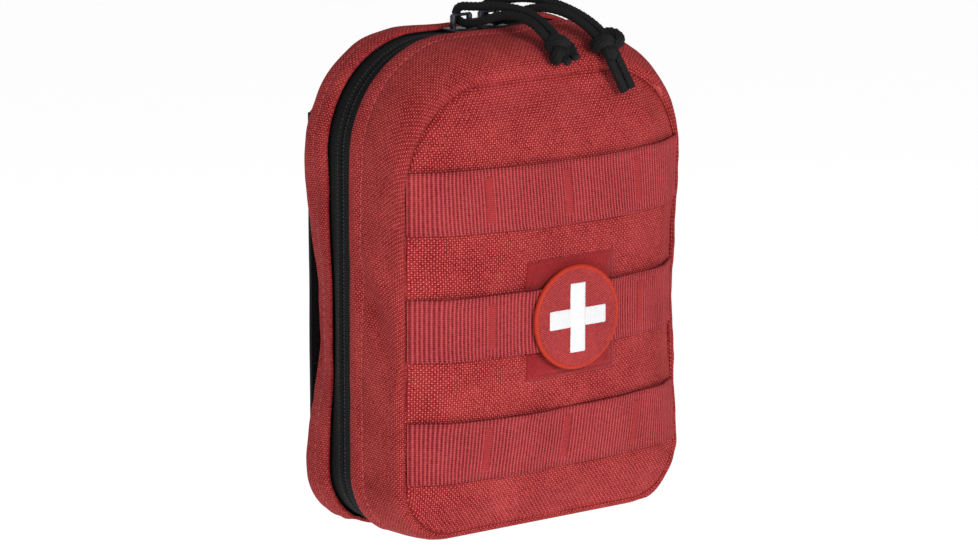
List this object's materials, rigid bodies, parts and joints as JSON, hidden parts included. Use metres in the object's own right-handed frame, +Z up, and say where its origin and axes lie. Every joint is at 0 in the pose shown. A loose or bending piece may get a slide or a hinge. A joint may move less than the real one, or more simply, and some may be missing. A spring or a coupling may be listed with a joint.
{
  "type": "first aid kit",
  "caption": "Soft clamshell first aid pouch with webbing rows, a round hook-and-loop cross patch, a two-way zipper with cord pulls, back straps and inner pockets.",
  "frame": {"origin": "centre of the base that the pouch stands on", "axes": "+Z up along the pouch's height, -Y towards the front panel, +X to the viewer's right when facing the front"},
  "size_m": [0.15, 0.0898, 0.2166],
  "materials": {
    "shell_fabric": "red oxford nylon with a fine plain weave",
    "webbing_red": "red ribbed nylon webbing",
    "tack_thread": "dense orange-red satin-stitched thread",
    "loop_pile": "red hook-and-loop loop pile",
    "zipper_black": "black woven zipper tape",
    "zipper_coil": "black nylon coil",
    "slider_metal": "dark gunmetal enamel",
    "cord_black": "black braided cord",
    "patch_twill": "red twill",
    "patch_edge": "orange-red overlocked thread",
    "patch_white": "white satin-stitched thread",
    "patch_hook": "black hook backing",
    "lining_grey": "dark grey nylon lining",
    "binding_black": "black grosgrain binding",
    "mesh_black": "black nylon mesh",
    "elastic_black": "black ribbed elastic",
    "strap_black": "black nylon webbing",
    "snap_black": "black enamelled snap",
    "stiffener_plastic": "translucent white sheet",
    "gauze_white": "white cotton gauze",
    "bandage_tan": "tan elastic bandage",
    "bandage_blue": "blue cohesive bandage",
    "packet_paper": "plain medical paper",
    "packet_film": "clear blue-tinted film over paper",
    "packet_green": "plain green foil packet"
  },
  "bodies": {
    "back_half": {"back_gusset": "shell_fabric", "back_panel": "shell_fabric", "back_gusset_binding": "binding_black", "back_zipper_tape": "zipper_black", "back_zipper_coil": "zipper_coil", "back_stiffener": "stiffener_plastic", "back_lining": "lining_grey", "back_webbing_bottom": "webbing_red", "back_webbing_middle": "webbing_red", "back_webbing_top": "webbing_red", "back_bar_tacks": "tack_thread", "hinge_strip": "shell_fabric", "zipper_end_stops": "slider_metal", "gauze_roll": "gauze_white", "elastic_bandage_roll": "bandage_tan", "cohesive_bandage_roll": "bandage_blue", "elastic_band_lower": "elastic_black", "elastic_band_upper": "elastic_black", "slip_pocket": "lining_grey", "slip_pocket_binding": "binding_black", "dressing_pack_large": "packet_paper", "dressing_pack_small": "packet_paper", "triangular_bandage_pack": "packet_film", "strap_anchors": "strap_black", "snap_studs": "snap_black"},
    "cover": {"front_gusset": "shell_fabric", "front_panel": "shell_fabric", "front_gusset_binding": "binding_black", "front_zipper_tape": "zipper_black", "front_zipper_coil": "zipper_coil", "front_lining": "lining_grey", "front_webbing_bottom": "webbing_red", "front_webbing_middle": "webbing_red", "front_webbing_top": "webbing_red", "front_bar_tacks": "tack_thread", "patch_loop_field": "loop_pile", "mesh_pocket": "mesh_black", "mesh_pocket_binding": "binding_black", "glove_pack": "packet_film", "wipe_pack": "packet_green"},
    "patch": {"patch_hook_backing": "patch_hook", "patch_base": "patch_twill", "patch_border": "patch_edge", "patch_cross": "patch_white"},
    "left_back_strap": {"left_strap": "strap_black", "left_snap_cap": "snap_black"},
    "right_back_strap": {"right_strap": "strap_black", "right_snap_cap": "snap_black"},
    "left_slider": {"left_slider": "slider_metal"},
    "right_slider": {"right_slider": "slider_metal"},
    "left_pull": {"left_pull_cord_over": "cord_black", "left_pull_cord_under": "cord_black", "left_pull_knot": "cord_black"},
    "right_pull": {"right_pull_cord_over": "cord_black", "right_pull_cord_under": "cord_black", "right_pull_knot": "cord_black"}
  },
  "joints": [
    {"name": "cover_hinge", "type": "hinge", "parent": "back_half", "child": "cover", "pos_m": [0, 0.0125, 0], "axis": [1, 0, 0], "range_deg": [0, 175]},
    {"name": "patch_peel", "type": "slide", "parent": "cover", "child": "patch", "axis": [0, -1, 0], "range_m": [0, 0.03]},
    {"name": "left_strap_swing", "type": "hinge", "parent": "back_half", "child": "left_back_strap", "pos_m": [-0.056, 0.0422, 0.17], "axis": [1, 0, 0], "range_deg": [0, 90]},
    {"name": "right_strap_swing", "type": "hinge", "parent": "back_half", "child": "right_back_strap", "pos_m": [0.056, 0.0422, 0.17], "axis": [1, 0, 0], "range_deg": [0, 90]},
    {"name": "left_slider_run", "type": "slide", "parent": "cover", "child": "left_slider", "axis": [-1, 0, 0], "range_m": [0, 0.0105]},
    {"name": "right_slider_run", "type": "slide", "parent": "cover", "child": "right_slider", "axis": [1, 0, 0], "range_m": [0, 0.021]},
    {"name": "left_pull_flip", "type": "hinge", "parent": "left_slider", "child": "left_pull", "pos_m": [-0.0125, 0.0125, 0.2085], "axis": [-1, 0, 0], "range_deg": [0, 140]},
    {"name": "right_pull_flip", "type": "hinge", "parent": "right_slider", "child": "right_pull", "pos_m": [0.0015, 0.0125, 0.2085], "axis": [-1, 0, 0], "range_deg": [0, 140]}
  ]
}
